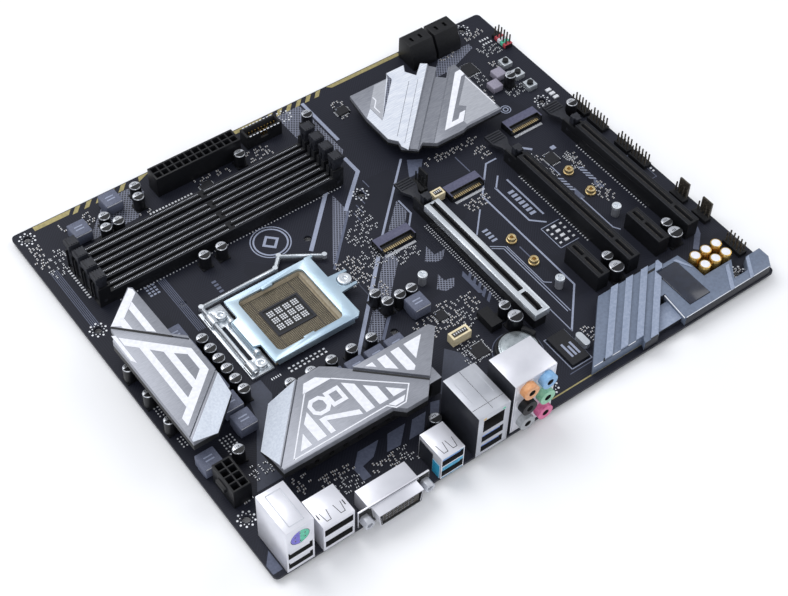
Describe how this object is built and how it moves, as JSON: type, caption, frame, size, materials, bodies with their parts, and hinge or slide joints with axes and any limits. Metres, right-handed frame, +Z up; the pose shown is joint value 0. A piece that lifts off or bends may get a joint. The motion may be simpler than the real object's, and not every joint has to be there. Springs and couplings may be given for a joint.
{
  "type": "desktop computer motherboard",
  "caption": "Full-size desktop motherboard with a processor socket and lever, memory slots with latches, expansion slots, finned heatsinks, stacked rear ports and an audio cover.",
  "frame": {"origin": "Axis of the rear left mounting hole, on the underside of the laminate.", "axes": "+X along the rear edge away from that corner (longest side), +Y towards the front edge where the drive ports are, +Z up out of the component side."},
  "size_m": [0.3047, 0.2496, 0.0396],
  "materials": {
    "laminate": "satin solder mask",
    "bright_steel": "bright nickel plating",
    "plate_steel": "polished, slightly blue",
    "dark_steel": "dark plating",
    "zinc_plate": "dull zinc",
    "socket_body": "moulded",
    "contact_gold": "gold flash",
    "black_plastic": "moulded",
    "latch_plastic": "moulded, ridged top",
    "socket_plastic": "moulded",
    "heatsink_metal": "brushed and anodised",
    "chipset_metal": "part polished, part brushed",
    "pad": "soft thermal pad",
    "shroud_plastic": "slate moulding",
    "badge": "glossy",
    "shell": "bright stamped shell",
    "tongue": "moulded",
    "jack": "moulded, six colours",
    "can": "sleeved can",
    "choke": "pressed powder",
    "chip": "moulded",
    "cell": "satin",
    "brass": "turned"
  },
  "bodies": {
    "mainboard": {"board": "laminate", "socket_backplate": "zinc_plate", "socket_housing": "socket_body", "socket_contacts": "contact_gold", "socket_hinge_frame": "bright_steel", "socket_screws": "bright_steel", "memory_slot_1": "black_plastic", "memory_slot_2": "black_plastic", "memory_slot_3": "black_plastic", "memory_slot_4": "black_plastic", "slot_contacts": "contact_gold", "armoured_slot": "black_plastic", "slot_armour": "bright_steel", "long_slots": "black_plastic", "short_slots": "black_plastic", "storage_sockets": "socket_plastic", "storage_standoffs": "brass", "side_heatsink": "heatsink_metal", "rear_heatsink": "heatsink_metal", "chipset_heatsink": "chipset_metal", "thermal_pads": "pad", "heatsink_screws": "dark_steel", "audio_shroud": "shroud_plastic", "shroud_badge": "badge", "keyboard_port_shell": "shell", "display_port_shell": "shell", "monitor_port": "shell", "monitor_port_nuts": "brass", "usb_port_shell": "shell", "network_port_shell": "shell", "port_tongues": "tongue", "audio_block": "shell", "audio_jacks": "jack", "main_power_socket": "black_plastic", "processor_power_socket": "black_plastic", "drive_ports": "black_plastic", "pin_headers": "black_plastic", "capacitors": "can", "chokes": "choke", "chips": "chip", "coin_cell": "cell", "cell_holder": "black_plastic", "switch_bases": "bright_steel"},
    "load_plate": {"socket_load_plate": "plate_steel"},
    "load_lever": {"socket_load_lever": "bright_steel"},
    "memory_latch_left_1": {"memory_latch_left_1": "latch_plastic"},
    "memory_latch_left_2": {"memory_latch_left_2": "latch_plastic"},
    "memory_latch_left_3": {"memory_latch_left_3": "latch_plastic"},
    "memory_latch_left_4": {"memory_latch_left_4": "latch_plastic"},
    "memory_latch_right_1": {"memory_latch_right_1": "latch_plastic"},
    "memory_latch_right_2": {"memory_latch_right_2": "latch_plastic"},
    "memory_latch_right_3": {"memory_latch_right_3": "latch_plastic"},
    "memory_latch_right_4": {"memory_latch_right_4": "latch_plastic"},
    "card_latch_1": {"card_latch_1": "latch_plastic"},
    "card_latch_2": {"card_latch_2": "latch_plastic"},
    "card_latch_3": {"card_latch_3": "latch_plastic"},
    "switch_cap_1": {"switch_cap_1": "black_plastic"},
    "switch_cap_2": {"switch_cap_2": "black_plastic"},
    "switch_cap_3": {"switch_cap_3": "black_plastic"}
  },
  "joints": [
    {"name": "load_lever_hinge", "type": "hinge", "parent": "mainboard", "child": "load_lever", "pos_m": [0.04705, 0.08498, 0.0046], "axis": [0, -1, 0], "range_deg": [0, 130]},
    {"name": "load_plate_hinge", "type": "hinge", "parent": "mainboard", "child": "load_plate", "pos_m": [0.05415, 0.08498, 0.0048], "axis": [0, -1, 0], "range_deg": [0, 104]},
    {"name": "memory_latch_left_1_hinge", "type": "hinge", "parent": "mainboard", "child": "memory_latch_left_1", "pos_m": [0.01145, 0.14658, 0.0052], "axis": [0, -1, 0], "range_deg": [0, 30]},
    {"name": "memory_latch_right_1_hinge", "type": "hinge", "parent": "mainboard", "child": "memory_latch_right_1", "pos_m": [0.15115, 0.14658, 0.0052], "axis": [0, 1, 0], "range_deg": [0, 30]},
    {"name": "memory_latch_left_2_hinge", "type": "hinge", "parent": "mainboard", "child": "memory_latch_left_2", "pos_m": [0.01145, 0.15538, 0.0052], "axis": [0, -1, 0], "range_deg": [0, 30]},
    {"name": "memory_latch_right_2_hinge", "type": "hinge", "parent": "mainboard", "child": "memory_latch_right_2", "pos_m": [0.15115, 0.15538, 0.0052], "axis": [0, 1, 0], "range_deg": [0, 30]},
    {"name": "memory_latch_left_3_hinge", "type": "hinge", "parent": "mainboard", "child": "memory_latch_left_3", "pos_m": [0.01145, 0.16418, 0.0052], "axis": [0, -1, 0], "range_deg": [0, 30]},
    {"name": "memory_latch_right_3_hinge", "type": "hinge", "parent": "mainboard", "child": "memory_latch_right_3", "pos_m": [0.15115, 0.16418, 0.0052], "axis": [0, 1, 0], "range_deg": [0, 30]},
    {"name": "memory_latch_left_4_hinge", "type": "hinge", "parent": "mainboard", "child": "memory_latch_left_4", "pos_m": [0.01145, 0.17298, 0.0052], "axis": [0, -1, 0], "range_deg": [0, 30]},
    {"name": "memory_latch_right_4_hinge", "type": "hinge", "parent": "mainboard", "child": "memory_latch_right_4", "pos_m": [0.15115, 0.17298, 0.0052], "axis": [0, 1, 0], "range_deg": [0, 30]},
    {"name": "card_latch_1_hinge", "type": "hinge", "parent": "mainboard", "child": "card_latch_1", "pos_m": [0.17765, 0.10358, 0.0058], "axis": [-1, 0, 0], "range_deg": [0, 8], "stiffness_Nm_per_rad": 0.05, "springref_deg": -1.15},
    {"name": "card_latch_2_hinge", "type": "hinge", "parent": "mainboard", "child": "card_latch_2", "pos_m": [0.23861, 0.10358, 0.0058], "axis": [-1, 0, 0], "range_deg": [0, 8], "stiffness_Nm_per_rad": 0.05, "springref_deg": -1.15},
    {"name": "card_latch_3_hinge", "type": "hinge", "parent": "mainboard", "child": "card_latch_3", "pos_m": [0.27925, 0.10358, 0.0058], "axis": [-1, 0, 0], "range_deg": [0, 8], "stiffness_Nm_per_rad": 0.05, "springref_deg": -1.15},
    {"name": "switch_cap_1_slide", "type": "slide", "parent": "mainboard", "child": "switch_cap_1", "axis": [0, 0, -1], "range_m": [0, 0.00025], "stiffness_N_per_m": 2000},
    {"name": "switch_cap_2_slide", "type": "slide", "parent": "mainboard", "child": "switch_cap_2", "axis": [0, 0, -1], "range_m": [0, 0.00025], "stiffness_N_per_m": 2000},
    {"name": "switch_cap_3_slide", "type": "slide", "parent": "mainboard", "child": "switch_cap_3", "axis": [0, 0, -1], "range_m": [0, 0.00025], "stiffness_N_per_m": 2000}
  ],
  "couplings": [
    {"joint": "load_plate_hinge", "follows": "load_lever_hinge", "ratio": 0.8}
  ]
}
